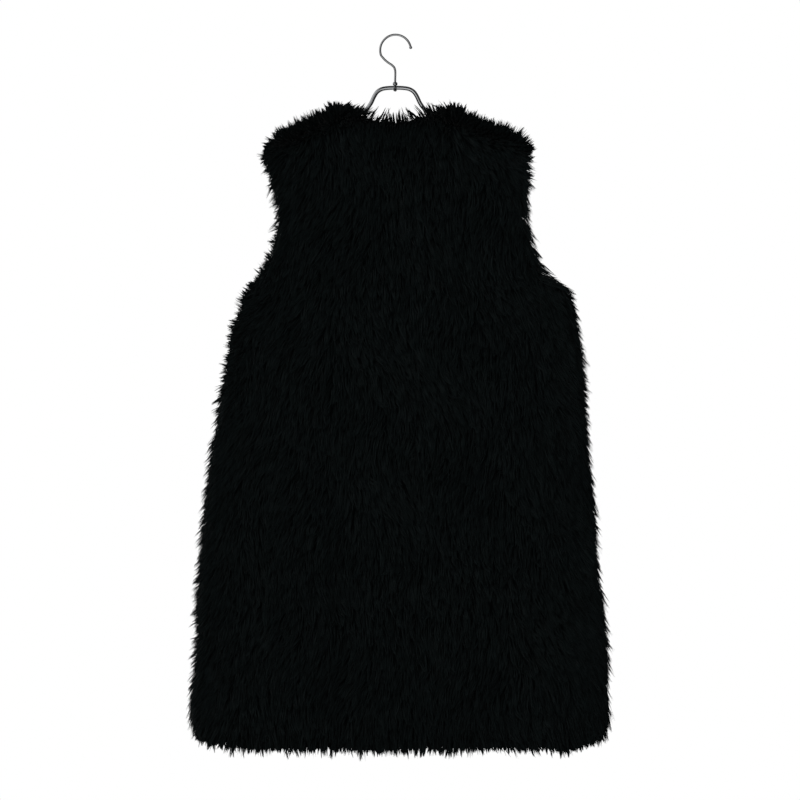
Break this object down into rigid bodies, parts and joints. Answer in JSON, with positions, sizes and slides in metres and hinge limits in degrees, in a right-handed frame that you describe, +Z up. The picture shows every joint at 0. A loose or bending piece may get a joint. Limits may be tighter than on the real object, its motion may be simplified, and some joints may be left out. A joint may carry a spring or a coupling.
{
  "type": "long faux fur vest on a bent-rod hanger",
  "caption": "Long sleeveless faux fur vest, open down the front, hanging flat on a bent steel rod hanger with a hook.",
  "frame": {"origin": "inside top of the hook, where a clothes rail carries it", "axes": "+Z up, -Y the side that the back of the vest faces, +X the wearer's right"},
  "size_m": [0.6137, 0.1101, 1.0383],
  "materials": {
    "fur": "near-black long-pile faux fur, faintly glossy",
    "rod": "polished plated steel",
    "collar": "plated steel, slightly duller"
  },
  "bodies": {
    "root": {"back": "fur", "front_left": "fur", "front_right": "fur", "hanger_frame": "rod", "hanger_hook": "rod", "hook_collar": "collar"}
  },
  "joints": []
}
